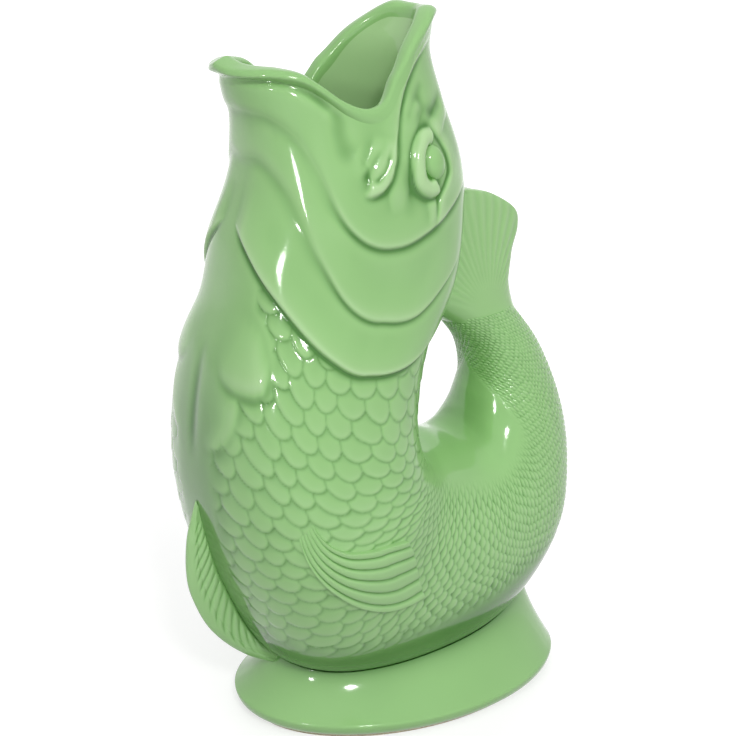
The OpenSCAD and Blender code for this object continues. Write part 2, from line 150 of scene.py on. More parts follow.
def pole_faces(rings, points):
    """Triangles from the first ring to one pole, whose number follows those of all the rings'
    points, and from the last ring to the pole after it."""
    here = np.arange(points)
    after, last, pole = (here + 1) % points, (rings - 1) * points, rings * points
    return np.vstack([np.stack([np.full(points, pole), after, here], -1),
                      np.stack([np.full(points, pole + 1), last + here, last + after], -1)])


def volume(points, faces):
    """Signed volume: a third of each face's area times its height over the origin, added up."""
    a, b, c = (points[faces[:, k]] for k in range(3))
    total = np.einsum("ij,ij->i", a, np.cross(b, c)).sum()
    if faces.shape[1] == 4:
        total += np.einsum("ij,ij->i", a, np.cross(c, points[faces[:, 3]])).sum()
    return total / 6


# %% Faces to a mesh
MM_PER_METRE = 1000


def fill_mesh(name, points, quads, fans):
    """A smooth-shaded mesh in metres, from points in mm, four-sided faces and triangles."""
    mesh = bpy.data.meshes.new(name)
    mesh.vertices.add(len(points))
    mesh.vertices.foreach_set("co", (points / MM_PER_METRE).astype(np.float32).ravel())
    corners = np.concatenate([quads.ravel(), fans.ravel()])
    mesh.loops.add(len(corners))
    mesh.loops.foreach_set("vertex_index", corners.astype(np.int32))
    mesh.polygons.add(len(quads) + len(fans))
    starts = np.concatenate([np.arange(len(quads)) * 4, quads.size + np.arange(len(fans)) * 3])
    mesh.polygons.foreach_set("loop_start", starts.astype(np.int32))
    mesh.update(calc_edges=True)
    mesh.polygons.foreach_set("use_smooth", np.ones(len(mesh.polygons), bool))
    return mesh


def mark_rings(mesh, size, sharp):
    """Marks as sharp the edges whose two points lie in the same listed ring."""
    ends = np.empty(len(mesh.edges) * 2, np.int32)
    mesh.edges.foreach_get("vertices", ends)
    ring = ends.reshape(-1, 2) // size
    flat = (ring[:, 0] == ring[:, 1]) & np.isin(ring[:, 0], sharp)
    mesh.attributes.new("sharp_edge", "BOOLEAN", "EDGE").data.foreach_set("value", flat)


def add_object(name, data):
    """A new object in the scene for a mesh, a lamp or a camera."""
    thing = bpy.data.objects.new(name, data)
    bpy.context.scene.collection.objects.link(thing)
    return thing


# %% Rings to a piece of the jug
def piece(name, rings, material, poles=None, pool_and_painted_light=None, sharp=(), node=()):
    """A closed mesh from rings in mm, an array of (ring, point, xyz). poles gives the two end
    points, and without them the last ring joins the first. The values given for the glaze are its
    depth at each point with painted shade and painted light mixed in, and sharp lists rings whose edges are
    sharp."""
    count, size = rings.shape[:2]
    points, fans = rings.reshape(-1, 3), np.empty((0, 3), int)
    quads = ring_faces(count, size, poles is None)
    if poles is not None:
        fans = pole_faces(count, size)
        points = np.vstack([points, poles])
    if volume(points, quads) + volume(points, fans) < 0:
        quads, fans = quads[:, ::-1], fans[:, ::-1]
    mesh = fill_mesh(name, points, quads, fans)
    if len(sharp):
        mark_rings(mesh, size, np.asarray(sharp))
    # The values are the glaze's depth with painted shade and painted light mixed in.
    depth = np.zeros(len(points), np.float32)
    if pool_and_painted_light is not None:
        depth[:pool_and_painted_light.size] = pool_and_painted_light.ravel()
    mesh.attributes.new("pool_and_painted_light", "FLOAT", "POINT").data.foreach_set("value", depth)
    mesh.materials.append(material)
    thing = add_object(name, mesh)
    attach(thing, "root")
    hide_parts(*node)
    print(f"{name}: {len(points)} points, {len(quads) * 2 + len(fans)} triangles")


# %% [markdown]
# ## Materials
# The jug is earthenware under a coloured lead-free glaze. The glaze is poured on and melts to a
# glass in the kiln: it runs off edges, where it is thin and pale, and stands in every groove,
# where it is deep and dark. So its colour follows an attribute that each mesh carries, the depth
# of the glaze worked out from the relief, with painted shade added in broad hollows, in a band on
# both sides of the plinth's crease and along the belly's edge, and painted light on the inner wall.
# The alternative, a painted picture, would not follow a change of the shape. Only the foot ring
# is wiped dry before firing and shows the clay.

# %% Colours and nodes
def linear(code):
    """An sRGB hex colour as linear red, green, blue and alpha."""
    c = np.array([int(code[k:k + 2], 16) for k in (1, 3, 5)]) / 255
    return (*np.where(c <= 0.04045, c / 12.92, ((c + 0.055) / 1.055) ** 2.4), 1.0)


def add_node(tree, kind, sockets=None, **settings):
    """Adds a shader node, sets its settings, and fills its sockets with values or with links. A
    node that is given as a value stands for its first output."""
    made = tree.nodes.new("ShaderNode" + kind)
    for name, value in settings.items():
        setattr(made, name, value)
    for name, value in (sockets or {}).items():
        if isinstance(value, bpy.types.Node):
            value = value.outputs[0]
        if isinstance(value, bpy.types.NodeSocket):
            tree.links.new(value, made.inputs[name])
        else:
            made.inputs[name].default_value = value
    return made


def colour_stops(ramp, *stops):
    """Sets a ramp node's colours: (place, hex) pairs, in order. A new ramp has two stops."""
    elements = ramp.color_ramp.elements
    for place, _ in stops[1:-1]:
        elements.new(place)
    for element, (place, code) in zip(elements, stops):
        element.position, element.color = place, linear(code)


def new_material(name):
    """An empty node material."""
    material = bpy.data.materials.new(name)
    material.use_nodes = True
    material.node_tree.nodes.clear()
    return material


# %% The glaze
# Apple green gloss glaze, melted glass about 0.4 mm thick with an almost mirror-smooth surface.
# Its colour drifts softly over about 40 mm, as the pour was thicker or thinner, and the surface
# has the faint orange peel of a kiln glaze, waves about 3 mm apart and some 0.02 mm high.
# Besides thin and deep glaze, the deep green paints shade in broad hollows, at the crease and along the
# belly's edge, and the thin green paints light on the inner wall.
THIN_AND_LIT_GREEN, PLAIN_GREEN, DEEP_AND_SHADED_GREEN = "#AFD59A", "#92C37B", "#457F30"
glaze = new_material("apple_green_gloss_glaze")
tree = glaze.node_tree
place = add_node(tree, "TexCoord").outputs["Object"]
# The attribute is the glaze's depth with painted shade and painted light mixed in.
pool_and_painted_light = add_node(tree, "Attribute", attribute_name="pool_and_painted_light").outputs["Fac"]
drift = add_node(tree, "TexNoise", {"Vector": place, "Scale": 25.0, "Detail": 2.0})
wander = add_node(tree, "Math", {0: drift, 1: 0.16, 2: -0.08}, operation="MULTIPLY_ADD")
depth = add_node(tree, "MapRange", {"Value": pool_and_painted_light, "From Min": -1.0, "From Max": 1.0})
level = add_node(tree, "Math", {0: depth, 1: wander}, operation="ADD")
tint = add_node(tree, "ValToRGB", {"Fac": level})
colour_stops(tint, (0.0, THIN_AND_LIT_GREEN), (0.5, PLAIN_GREEN), (1.0, DEEP_AND_SHADED_GREEN))
peel = add_node(tree, "TexNoise", {"Vector": place, "Scale": 330.0, "Detail": 1.0})
waves = add_node(tree, "Bump", {"Height": peel, "Strength": 0.12, "Distance": 0.0002})
shader = add_node(tree, "BsdfPrincipled", {
    "Base Color": tint, "Roughness": 0.11, "IOR": 1.5, "Normal": waves})
add_node(tree, "OutputMaterial", {"Surface": shader})
print("glaze nodes:", len(tree.nodes))

# %% The bare clay
# Fired earthenware, sponged before firing: matt and cream, with grog specks about two thirds of a
# millimetre wide.
clay = new_material("bare_fired_earthenware")
tree = clay.node_tree
place = add_node(tree, "TexCoord").outputs["Object"]
grog = add_node(tree, "TexNoise", {"Vector": place, "Scale": 1500.0, "Detail": 3.0})
tint = add_node(tree, "ValToRGB", {"Fac": grog})
colour_stops(tint, (0.35, "#CDBE9F"), (0.65, "#E4DAC2"))
rough = add_node(tree, "Bump", {"Height": grog, "Strength": 0.5, "Distance": 0.0003})
shader = add_node(tree, "BsdfPrincipled", {"Base Color": tint, "Roughness": 0.85, "Normal": rough})
add_node(tree, "OutputMaterial", {"Surface": shader})
print("clay nodes:", len(tree.nodes))

# %% [markdown]
# ## The grid that carries the relief
# The head's plates, the eyelids and the scales are pressed into one skin, with no undercut, as a
# mould needs. A sculptor would push them up by hand. Here the relief is a height over the skin on
# one fine grid, because a height never folds over itself. The grid's rows follow the plates'
# edges, which so stay crisp. Only the left side is worked out, and then mirrored.

# %% Lines round the head, one value every 15 degrees from the belly's edge to the back
RIM = LAST * np.array([
    -0.008, 0.000, 0.004, 0.010, 0.027, 0.074, 0.089, 0.054, 0.012, -0.015, -0.028, -0.025, -0.022])
CHEEK_EDGE = LAST * np.array([
    0.078, 0.080, 0.086, 0.112, 0.175, 0.211, 0.228, 0.221, 0.206, 0.192, 0.183, 0.180, 0.179])
GILL_ROOT = LAST * np.array([
    0.136, 0.134, 0.154, 0.189, 0.230, 0.268, 0.289, 0.292, 0.275, 0.256, 0.239, 0.232, 0.230])
GILL_EDGE = LAST * np.array([
    0.197, 0.220, 0.247, 0.271, 0.294, 0.314, 0.331, 0.334, 0.328, 0.311, 0.289, 0.280, 0.277])
LINE_SPACING, LIP_HEIGHT = 15, 5.0


def at_angle(table, angle, spacing=LINE_SPACING):
    """A table's value at an angle, such as a line's station; it has one every few degrees."""
    return curve(table, np.minimum(np.abs(angle) / spacing, len(table) - 1))


def mouth(angle):
    """The station just under the rolled lip."""
    return below(at_angle(RIM, angle), angle, LIP_HEIGHT)


# %% Columns at equal distances round a typical section
TYPICAL_SQUARENESS, HALF = 2.35, 281


def even_angles(count):
    """Angles from 0 to 180 whose points lie equally far apart on a round superellipse."""
    fine = np.radians(np.linspace(0, 180, 4001))
    x = np.sign(np.cos(fine)) * np.abs(np.cos(fine)) ** (2 / TYPICAL_SQUARENESS)
    y = np.abs(np.sin(fine)) ** (2 / TYPICAL_SQUARENESS)
    length = np.concatenate([[0], np.cumsum(np.hypot(np.diff(x), np.diff(y)))])
    return np.degrees(np.interp(np.linspace(0, length[-1], count), length, fine))


angles = even_angles(HALF)

# %% The grid's stations, in nine parts from the mouth to the tail's tip
BODY_CUTS = (7.7, 9.3, 11.2, 13.5, 15.7, float(LAST))
PART_ROWS = (120, 50, 60, 120, 84, 110, 130, 140, 140)
limits = [mouth(angles)] + [at_angle(line, angles) for line in (CHEEK_EDGE, GILL_ROOT, GILL_EDGE)]
limits += [np.full(HALF, cut) for cut in BODY_CUTS]
stations = [limits[0][None]]
for first, last, rows in zip(limits, limits[1:], PART_ROWS):
    stations.append(first + (last - first) * (np.arange(1, rows + 1) / rows)[:, None])
stations = np.vstack(stations)
breaks = np.concatenate([[0], np.cumsum(PART_ROWS)])
round_angle = np.broadcast_to(angles, stations.shape)
ground, up = skin(stations, round_angle), skin_normal(stations, round_angle)
per_station, per_degree = skin_run(stations, round_angle), skin_turn(stations, round_angle)
print("grid:", stations.shape, "breaks:", breaks)


# %% Smooth steps and bells
def fade(x, start, end):
    """0 before start, 1 after end, and a smooth slope between."""
    u = np.clip((x - start) / (end - start), 0, 1)
    return u * u * (3 - 2 * u)


def bell(x, width):
    """1 at nought, falling off smoothly over the width to both sides."""
    return np.exp(-(x / width) ** 2)


# %% Distance to a line round the head
def past(table, spacing=LINE_SPACING):
    """Millimetres on the skin past a line round the head: the difference in stations, divided by
    how fast it grows over the skin, square with the line."""
    passed = stations - at_angle(table, round_angle, spacing)
    slope = (at_angle(table, round_angle - 0.5, spacing) - at_angle(table, round_angle + 0.5, spacing))
    along, around = (per_station ** 2).sum(-1), (per_degree ** 2).sum(-1)
    mixed = (per_station * per_degree).sum(-1)
    growth = np.sqrt((around - 2 * mixed * slope + along * slope ** 2) / (along * around - mixed ** 2))
    return passed / growth


# %% Distance to a line drawn anywhere on the skin
LINE_SAMPLES = 200


def drawn(points):
    """A line on the skin through (station, angle) points: its places, directions and left side."""
    spots = curve(np.array(points, float), np.linspace(0, len(points) - 1, LINE_SAMPLES))
    line = skin(spots[:, 0], spots[:, 1])
    ahead = unit(np.gradient(line, axis=0))
    return line, ahead, np.cross(skin_normal(spots[:, 0], spots[:, 1]), ahead)


def from_line(points, around):
    """For grid points within a distance of the line: a mask, the signed distance in mm, positive
    to the left of the line's way seen from outside, and the share of the line passed."""
    line, ahead, left = drawn(points)
    low, high = line.min(0) - around, line.max(0) + around
    near = np.all((ground > low) & (ground < high), axis=-1)
    spot = ground[near]
    square = (spot ** 2).sum(1)[:, None] - 2 * spot @ line.T + (line ** 2).sum(1)
    k = square.argmin(1)
    gap = spot - line[k]
    inner = (k > 0) & (k < len(line) - 1)
    gap = gap - np.where(inner, (gap * ahead[k]).sum(1), 0)[:, None] * ahead[k]
    side = np.sign((gap * left[k]).sum(1))
    return near, np.linalg.norm(gap, axis=1) * side, k / (len(line) - 1)


height = np.zeros(stations.shape)

# %% [markdown]
# ## The head's plates
# A fish's cheek and gill cover are bony plates, and each free edge stands over the next plate.
# The modeller gave them a rounded edge with a furrow behind it. Separate slabs would show a hard
# seam, so each edge is a soft step: a swelling before the line and a furrow after it. The flaps,
# lids and folds were drawn with a tool, and so they are strokes along lines here as well.

# %% The plates' edges
def plate_edge(distance, rise, reach, furrow, furrow_width, sharpness):
    """Rises in a bell towards the edge and dips in a bell after it; tanh hands over between."""
    after = (1 + np.tanh(distance / sharpness)) / 2
    return (1 - after) * rise * bell(distance, reach) - after * furrow * bell(distance, furrow_width)


# Towards the throat the furrows get wide and soft, and at the nape they end
throat = 1 - fade(round_angle, 40, 74)
before_nape = 1 - fade(round_angle, 128, 150)
soft = {"furrow": 0.5 - 0.1 * throat, "furrow_width": 1.8 + 3.2 * throat, "sharpness": 0.4 + 1.6 * throat}
for line in (CHEEK_EDGE, GILL_ROOT):
    height += before_nape * plate_edge(past(line), rise=0.7, reach=11, **soft)
gill_shown = fade(round_angle, 3, 14) * (1 - 0.4 * fade(round_angle, 120, 150))
gill_edge = plate_edge(past(GILL_EDGE), rise=1.2, reach=10, furrow=0.6, furrow_width=1.8, sharpness=0.4)
height += gill_shown * gill_edge
print("plates: highest", height.max().round(2), "lowest", height.min().round(2))

# %% The lip's bead, with a soft groove under it
LIP_GROOVE = LAST * np.array([
    0.0344, 0.0322, 0.0322, 0.0385, 0.0628, 0.1000, 0.12, 0.13, 0.13, 0.13, 0.13, 0.13, 0.13])
BEAD_RISE, BEAD_END, GROOVE_DEPTH, GROOVE_WIDTH = 0.8, -1.8, 1.2, 2.0
UPPER_BEAD_RISE, UPPER_BEAD_WIDTH = 0.9, 5
distance, lower_lip = past(LIP_GROOVE), 1 - fade(round_angle, 62, 76)
bead = BEAD_RISE * (1 - np.tanh(distance - BEAD_END))
groove = GROOVE_DEPTH * (0.3 + 0.7 * fade(round_angle, 8, 32)) * bell(distance, GROOVE_WIDTH)
height += lower_lip * (bead - groove)
height += UPPER_BEAD_RISE * fade(round_angle, 120, 132) * bell(past(RIM), UPPER_BEAD_WIDTH)

# %% A shallow furrow down the middle of the breast
BREAST_FURROW_DEPTH, BREAST_FURROW_WIDTH = 0.5, 3.0
from_middle = np.abs(ground[..., 1])
on_breast = fade(stations, 5.4, 6.2) * (1 - fade(stations, 6.7, 7.4))
height -= BREAST_FURROW_DEPTH * bell(from_middle, BREAST_FURROW_WIDTH) * on_breast


# %% A furrow, a ridge or a step along a drawn line
def between_ends(share, ends):
    """1 along a line, fading to 0 over a share of it at both ends."""
    return fade(share, 0, ends) * fade(1 - share, 0, ends)


def furrow(points, depth, width, ends):
    """Takes a bell-shaped furrow out along a line."""
    near, distance, share = from_line(points, 3 * width)
    height[near] -= depth * bell(distance, width) * between_ends(share, ends)


def ridge(points, rise, width, ends):
    """Adds a rounded ridge: a half circle's profile, softened by a power."""
    near, distance, share = from_line(points, 2 * width)
    round_top = np.sqrt(np.clip(1 - (distance / width) ** 2, 0, 1)) ** 1.3
    height[near] += rise * round_top * between_ends(share, ends)


def step(points, rise, reach, dip, dip_width, sharpness, ends):
    """A step along a line: the ground swells on its right and dips on its left."""
    near, distance, share = from_line(points, 14)
    edge = plate_edge(distance, rise, reach, dip, dip_width, sharpness)
    height[near] += edge * between_ends(share, ends)


# %% The jaw flap, with the bag at its end
JAW_FLAP = [(0.15, 148), (0.63, 131), (1.03, 118.2), (1.42, 107.2), (1.79, 100), (2.20, 94.6), (2.47, 91.8),
            (2.71, 90), (2.95, 87.8), (3.10, 85), (3.16, 82), (3.18, 78.4), (3.12, 74.6)]
BAG_EDGE = [(2.20, 91.6), (2.49, 90.2), (2.70, 88.4), (2.91, 85.8), (3.05, 82.7), (3.10, 79.5), (3.04, 76)]
BAG_MIDDLE = [(2.16, 90.0), (2.45, 86.4), (2.70, 82.6), (2.92, 78.6)]
LENS_BACK = [(2.36, 90.4), (2.62, 88.0), (2.79, 85.6), (2.91, 82.8), (3.0, 79.6)]
LENS_FRONT = [(2.25, 90.6), (2.49, 84.6), (2.69, 80.0), (2.85, 76.8), (2.98, 75.6)]
step(JAW_FLAP, rise=0.9, reach=6.5, dip=0.45, dip_width=1.6, sharpness=0.5, ends=0.14)
ridge(BAG_EDGE, rise=0.4, width=2.5, ends=0.2)
ridge(BAG_MIDDLE, rise=0.55, width=4.2, ends=0.35)
furrow(LENS_BACK, depth=0.8, width=0.9, ends=0.25)
furrow(LENS_FRONT, depth=0.4, width=1.2, ends=0.35)

# %% The folds round the mouth's corner
CORNER_FOLD = [(1.46, 68), (1.60, 69.2), (1.83, 69), (2.12, 68.6), (2.35, 69.8), (2.49, 72.2), (2.53, 75)]
FLAP_STRIP = [(1.54, 118.6), (1.94, 105.2), (2.49, 95), (3.15, 90.4), (3.58, 92)]
CHEEK_FOLD = [(2.60, 93.4), (2.97, 93.6), (3.35, 94.4), (3.80, 95.8)]
furrow(CORNER_FOLD, depth=0.5, width=3.2, ends=0.4)
ridge(FLAP_STRIP, rise=0.5, width=4.0, ends=0.25)
furrow(CHEEK_FOLD, depth=0.35, width=2.6, ends=0.45)

# %% The eyelid, the socket and the rear lid
EYELID = [(2.41, 114), (2.38, 110), (2.44, 106), (2.63, 101.8), (2.91, 99.8), (3.12, 100.8), (3.25, 105),
          (3.22, 110.6)]
ROUND_EYELID = [(2.27, 112.2), (2.37, 104.2), (2.61, 98.8), (2.99, 96.6), (3.24, 98.6), (3.39, 104.4),
                (3.39, 110), (3.27, 114)]
SOCKET = [(2.50, 113.5), (2.56, 109), (2.72, 106), (2.92, 105.4), (3.05, 108.4), (3.07, 112)]
REAR_LID = [(4.01, 109.8), (3.78, 110), (3.47, 111), (3.27, 116), (3.05, 121.2), (2.81, 122.4), (2.56, 120.6),
            (2.32, 116.6), (2.22, 110.6)]
REAR_FOLD = [(3.34, 104.5), (3.52, 106.6), (3.72, 107.6), (3.95, 108)]
ridge(EYELID, rise=2.2, width=3.1, ends=0.05)
furrow(ROUND_EYELID, depth=0.5, width=1.2, ends=0.2)
furrow(SOCKET, depth=0.5, width=0.8, ends=0.2)
step(REAR_LID, rise=0.7, reach=4.5, dip=0.6, dip_width=1.1, sharpness=0.4, ends=0.2)
ridge(REAR_FOLD, rise=0.4, width=2.4, ends=0.3)

# %% The folds of the brow
INNER_BROW = [(1.53, 114.8), (1.68, 115.2), (1.85, 114.4), (1.99, 110), (2.18, 102.6)]
OUTER_BROW = [(1.30, 123), (1.49, 118.2), (1.68, 111), (1.92, 104.2), (2.17, 99.6)]
CROWN_FOLD = [(1.62, 141), (1.88, 133), (1.98, 126), (2.04, 120), (2.12, 114.5)]
CROWN_RIDGE = [(1.80, 146), (2.00, 138.4), (2.12, 129.6), (2.24, 122.2), (2.32, 116)]
furrow(INNER_BROW, depth=0.4, width=1.8, ends=0.3)
furrow(OUTER_BROW, depth=0.3, width=1.6, ends=0.3)
furrow(CROWN_FOLD, depth=0.6, width=2.8, ends=0.35)
ridge(CROWN_RIDGE, rise=0.5, width=3.2, ends=0.3)
print("head: highest", height.max().round(2), "lowest", height.min().round(2))

# %% [markdown]
# ## The pectoral fin and the breast
# The front fin lies flat on the breast as a thick leaf with faint rays, and below it a smooth
# lobe ends where the scales begin. A leaf laid on as a slab would show its underside, so it is
# more of the same relief: it rises from its borders to an even thickness.

# %% A leaf between two lines, each with a station for every 5 degrees
LEAF_TOP = np.array([3.2, 3.85, 4.27, 4.58, 4.76, 4.87, 4.97, 5.11, 5.33, 5.62, 6.10])
LEAF_END = np.array([5.2, 5.55, 5.85, 6.02, 6.11, 6.16, 6.18, 6.19, 6.17, 6.06, 5.60])
LEAF_SPACING, LEAF_FROM_MIDDLE, LEAF_RISE, LEAF_FURROW, LEAF_FURROW_WIDTH = 5, 8.0, 1.2, 0.2, 1.4
LEAF_RAY_RISE, LEAF_RAY_DEGREES, LEAF_RAY_SLANT = 0.05, 1.9, 14.7
from_top, from_end = past(LEAF_TOP, LEAF_SPACING), -past(LEAF_END, LEAF_SPACING)
from_side = from_middle - LEAF_FROM_MIDDLE
leaf = fade(stations, 4.6, 5.8)
for distance, width in ((from_top, 4.5), (from_end, 3.2), (from_side, 14.0)):
    leaf = leaf * (1 - bell(np.maximum(distance, 0), width))
rays = np.sin(2 * np.pi * (round_angle - LEAF_RAY_SLANT * (stations - 5)) / LEAF_RAY_DEGREES)
height += LEAF_RISE * leaf + LEAF_RAY_RISE * rays * fade(leaf, 0.6, 1)
end_shown = fade(from_top, -1, 3) * fade(from_side, 2, 12) * fade(stations, 4.8, 5.6)
height -= LEAF_FURROW * bell(from_end, LEAF_FURROW_WIDTH) * end_shown
on_leaf = fade(np.minimum(from_end, np.minimum(from_side, from_top)), -1.5, 0.5)
print("leaf covers", int(on_leaf.sum()), "grid points")

# %% The lobe below the leaf
LOBE_EDGE = [(6.10, 29.5), (6.42, 28.0), (6.74, 24), (7.00, 15), (7.04, 4)]
step(LOBE_EDGE, rise=0.3, reach=7, dip=0.15, dip_width=2.4, sharpness=1.4, ends=0.3)

# %% [markdown]
# ## The scales
# Big scales cover the body, about 11 mm wide and 6 mm apart, and small ones of 3 by 2 mm cover
# the tail. Each is a plate that lies over the next one towards the tail, like roof tiles. Modelling
# them one by one would take some three thousand pieces, so a formula finds, for each grid point,
# which plate lies on top there and how far its free edge is.

# %% One field of overlapping scales
SCALE_REACH, SCALE_HALF = 1.15, 0.61


def own_number(row, column):
    """A number from 0 to 1 that looks drawn by chance and is always the same for one scale."""
    return np.abs(np.sin(12.9898 * row + 78.233 * np.abs(column)) * 43758.5453) % 1


def scales(row, column, row_mm, column_mm, rise, furrow_depth, furrow_width):
    """row and column count scales, and odd rows are shifted by half a scale. A scale's edge is
    half an ellipse 1.15 rows long and 1.22 columns wide, cut where it meets its neighbour. Of the
    scales over a point the one nearest the head shows. It rises to nought at its edge, more or
    less steeply by its own number, and a furrow runs along every edge."""
    first = np.floor(row - SCALE_REACH)
    found = np.zeros(row.shape, bool)
    top, edge = np.zeros(row.shape), np.full(row.shape, 9.0)
    for k in range(4):
        index = first + k
        across = column - 0.5 * (index % 2)
        own = np.round(across)
        x, y = np.abs(across - own) / SCALE_HALF, np.maximum(row - index, 0) / SCALE_REACH
        ring = np.hypot(x, y)
        slope = np.hypot(x / SCALE_HALF / column_mm, y / SCALE_REACH / row_mm)
        gap = np.abs(ring - 1) * np.maximum(ring, 0.2) / np.maximum(slope, 1e-3)
        show = (ring <= 1) & ~found
        gap = np.where(show, np.minimum(gap, 0.1 + (0.5 - SCALE_HALF * x) * column_mm), gap)
        top = np.where(show, (y - 1) * (0.75 + 0.5 * own_number(index, own)), top)
        edge = np.where(found, edge, np.minimum(edge, gap))
        found |= show
    return rise * top - furrow_depth * bell(edge, furrow_width)


# %% Rows of scales get closer towards the tail, and wander a little as a modeller's hand does
ROW_AT = np.array([4.0, 7.4, 8.2, 9.4, 10.6, 11.6, 13.0, 15.0, 18.0])
ROWS_PER_STATION = np.array([3.3, 3.3, 4.2, 5.4, 6.6, 8.2, 9.2, 10.2, 11.5])
ROW_TILT = np.array([0, 0, 0, 0.12, 0.34, 0.57, 0.78, 0.91, 0.98, 1.0, 1.0, 1.0, 1.0])
fine = np.linspace(0, LAST, 3601)
count_so_far = np.cumsum(np.interp(fine, ROW_AT, ROWS_PER_STATION)) * (fine[1] - fine[0])
wobble = 0.10 * np.sin(1.7 * stations + 0.11 * round_angle)
wobble = wobble + 0.07 * np.sin(3.1 * stations - 0.23 * round_angle)
tilted = stations - at_angle(ROW_TILT, round_angle) * (1 - fade(stations, 6.8, 10.2))
row = np.interp(tilted, fine, count_so_far) + wobble
run_mm = np.linalg.norm(per_station, axis=-1) / np.interp(stations, ROW_AT, ROWS_PER_STATION)
print("rows of scales:", int(row.max() - row[breaks[3]].min()))

# %% Columns of scales, evenly spaced round the fish
BIG_COLUMNS, SMALL_COLUMNS, COLUMN_SLANT = 14, 27, 0.13
girth = np.linalg.norm(np.diff(ground, axis=1), axis=-1).sum(1)[:, None]
share_round = np.broadcast_to(np.arange(HALF) / (HALF - 1), stations.shape)
slant = COLUMN_SLANT * (row - np.interp(6.4, fine, count_so_far))
big = scales(row, BIG_COLUMNS * share_round + 0.8 * wobble - slant, run_mm, girth / BIG_COLUMNS,
             rise=0.28, furrow_depth=0.32, furrow_width=0.45)
small_rise = 0.5 - 0.12 * fade(stations, 12, 15)
small = scales(row, SMALL_COLUMNS * share_round + 0.9 * wobble, run_mm, girth / SMALL_COLUMNS,
               rise=small_rise, furrow_depth=0.5 * small_rise, furrow_width=0.4)

# %% The crease where the belly meets the plinth
CREASE_MIDDLE, CREASE_REACH, CREASE_ANGLE = LAST * 0.652, LAST * 0.090, 43.0
NEAR_PLINTH = 60.0
turn = np.radians(np.linspace(0, 360, 120))
crease = skin(CREASE_MIDDLE + CREASE_REACH * np.cos(turn), CREASE_ANGLE * np.sin(turn))
low = ground[..., 2] < NEAR_PLINTH
from_crease = np.full(stations.shape, NEAR_PLINTH)
from_crease[low] = np.sqrt(((ground[low][:, None, :] - crease[None]) ** 2).sum(-1).min(1))
print("grid points near the crease:", int((from_crease < 10).sum()))

# %% Where each kind of scale lies
# Big scales end at a station for each angle. From an angle for each station, on the inside of the
# bend, the skin is smooth, and so it is on the throat and near the plinth.
BIG_ENDS = np.array([10.7, 10.7, 10.65, 10.6, 10.6, 10.5, 10.3, 9.6, 8.65, 8.0, 7.4, 7.3, 7.3])
SMOOTH_INSIDE = np.array([
    180, 180, 180, 180, 180, 180, 180, 170, 136, 142, 145, 141, 137, 130, 123, 123, 170, 195, 195.0])
big_share = 1 - fade(stations - at_angle(BIG_ENDS, round_angle), -0.08, 0.08)
scaly = fade(past(GILL_EDGE), 0.8, 3.0) * (1 - on_leaf)
scaly = scaly * (1 - (1 - fade(round_angle, 26, 31)) * (1 - fade(stations, 6.7, 7.1)))
scaly = scaly * fade(round_angle + 60 * fade(stations, 9.6, 10.2), 9, 17)
scaly = scaly * (1 - fade(round_angle - curve(SMOOTH_INSIDE, stations), -15, 3))
scaly = scaly * fade(from_crease, 20, 28)
height += scaly * (big_share * big + (1 - big_share) * small)
print("scaly share of the grid:", scaly.mean().round(2))


# %% Soften the relief as a glaze does
def soften(field, cells):
    """Gaussian blur of the left half's grid, mirrored at the belly's edge and the back."""
    k = np.arange(-3 * cells, 3 * cells + 1)
    margin = (len(k), len(k))
    weight = np.exp(-0.5 * (k / cells) ** 2)
    weight = weight / weight.sum()
    wide = np.pad(np.pad(field, (margin, (0, 0)), mode="edge"), ((0, 0), margin), mode="reflect")
    tall = sum(w * np.roll(wide, s, 0) for w, s in zip(weight, k))
    both = sum(w * np.roll(tall, s, 1) for w, s in zip(weight, k))
    return both[len(k):-len(k), len(k):-len(k)]


height = 0.6 * soften(height, 1) + 0.4 * height
print("relief from", height.min().round(2), "to", height.max().round(2), "mm")

# %% Find where the glaze stands deep, and where shade is painted
# The glaze fills hollows, narrow ones most of all. Broad hollows, a band above the crease at the
# plinth and the belly's edge are darkened further as painted shade.
FULL_HOLLOW, BROAD_SHADE_SHARE, CREASE_SHADE, BELLY_EDGE_SHADE = 0.48, 0.35, 0.9, 0.6
fine_hollow, broad_hollow = soften(height, 4) - height, soften(height, 14) - height
painted_low_shade = CREASE_SHADE * (1 - fade(from_crease, 16, 32))
painted_low_shade = painted_low_shade + BELLY_EDGE_SHADE * (1 - fade(round_angle, 4, 26)) * fade(stations, 4.8, 7.0)
deep_and_shaded = np.clip(fine_hollow / FULL_HOLLOW + BROAD_SHADE_SHARE * broad_hollow + painted_low_shade, -1, 1)
print("glaze depth from", deep_and_shaded.min().round(2), "to", deep_and_shaded.max().round(2))


# %% [markdown]
# ## Cutting the skin into pieces
# The real jug is one piece, and one mesh could show it. But it is cut where the plates end, and
# the belly and tail into rings, so that each piece is light enough for a viewer and stands for its
# own nodes. Each is a closed wall 5 mm thick: the relief outside, the smooth cast wall inside.

# %% Mirror the left side and close each ring
def whole(left_side):
    """The full ring from the left half: back round the right side, without the two middle points."""
    right_side = left_side[:, -2:0:-1]
    if left_side.ndim == 3:
        right_side = right_side * [1, -1, 1]
    return np.concatenate([left_side, right_side], 1)


INNER_RINGS = 14
INSIDE_PAINTED_LIGHT = -1.0  # the inner wall is painted the pale thin-glaze green as painted light, to lift its shade
outside, pooled_and_shaded = whole(ground + height[..., None] * up), whole(deep_and_shaded)


def inner_wall(start, end):
    """The wall's inside, in rings from one row of stations to another."""
    place = start + (end - start) * np.linspace(0, 1, INNER_RINGS)[:, None]
    return whole(raised(place, angles, -WALL))


